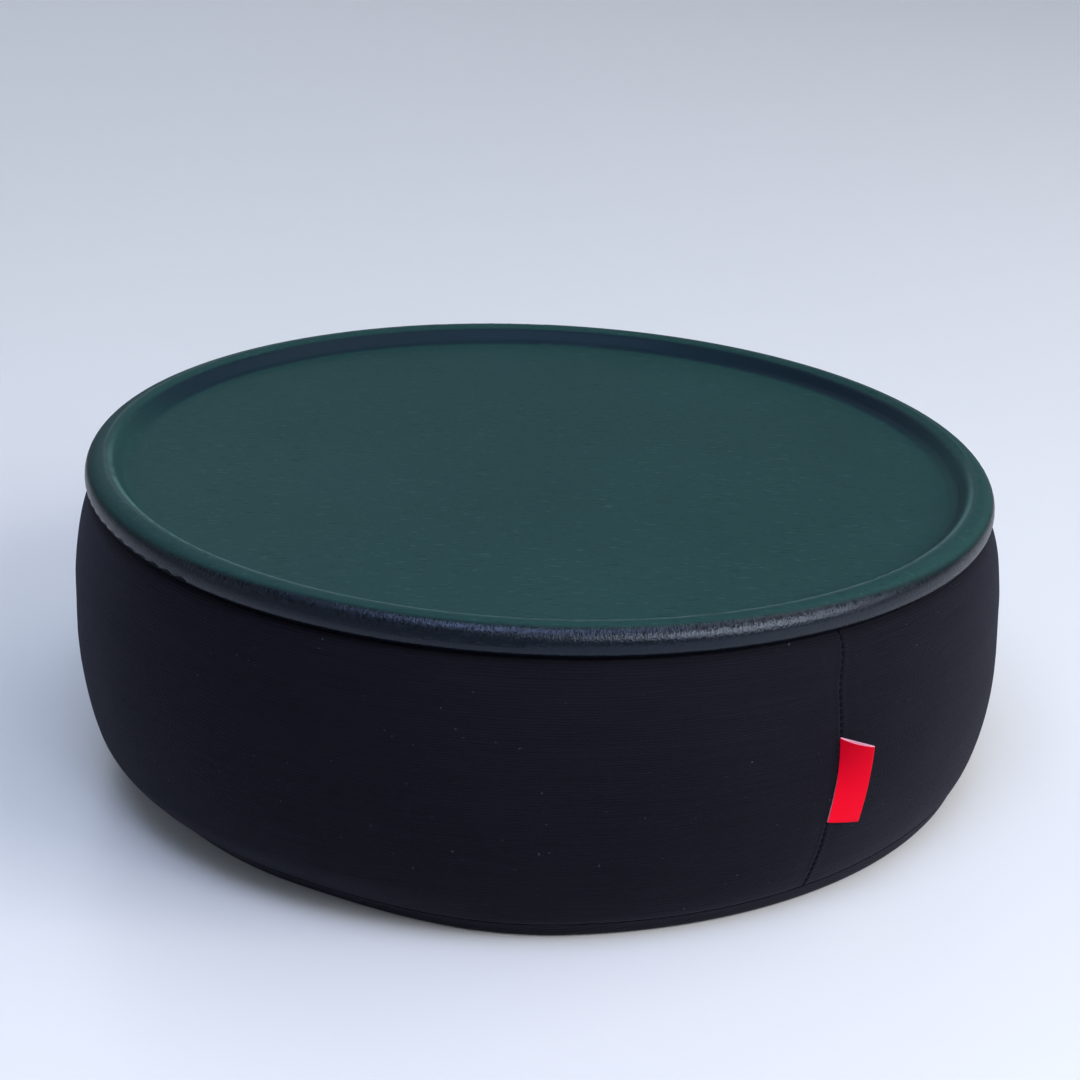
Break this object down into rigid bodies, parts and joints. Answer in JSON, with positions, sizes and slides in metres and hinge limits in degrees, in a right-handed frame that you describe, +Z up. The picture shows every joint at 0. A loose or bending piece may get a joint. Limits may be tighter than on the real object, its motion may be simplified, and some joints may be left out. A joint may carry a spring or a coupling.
{
  "type": "lap tray with cushion",
  "caption": "Round lap tray with a raised, rolled rim in leatherette, clamped onto a soft bead cushion in a stretch knit cover with a small side tag.",
  "frame": {"origin": "middle of the cushion's flat base, on the surface it rests on", "axes": "+Z up, -Y the front, +X towards the side where the tray rests a little lower"},
  "size_m": [0.3912, 0.3914, 0.1384],
  "materials": {
    "leatherette": "satin dark green grained leatherette, darker and glossier over the rim",
    "pan_plastic": "black moulded plastic",
    "ring_plastic": "black moulded plastic",
    "screw_steel": "zinc plated steel",
    "cord_fibre": "white braided cord",
    "side_knit": "near-black fine stretch knit with level courses",
    "bottom_knit": "near-black fine knit",
    "tag_ribbon": "plain red woven ribbon",
    "bag_cloth": "white non-woven cloth",
    "beads": "white expanded polystyrene beads"
  },
  "bodies": {
    "root": {"tray_skin": "leatherette", "tray_pan": "pan_plastic", "retaining_ring": "ring_plastic", "ring_screws": "screw_steel", "hem_cord": "cord_fibre", "cover_side_band": "side_knit", "cover_bottom_panel": "bottom_knit", "side_tag": "tag_ribbon", "bead_bag": "bag_cloth", "bead_fill": "beads"}
  },
  "joints": []
}
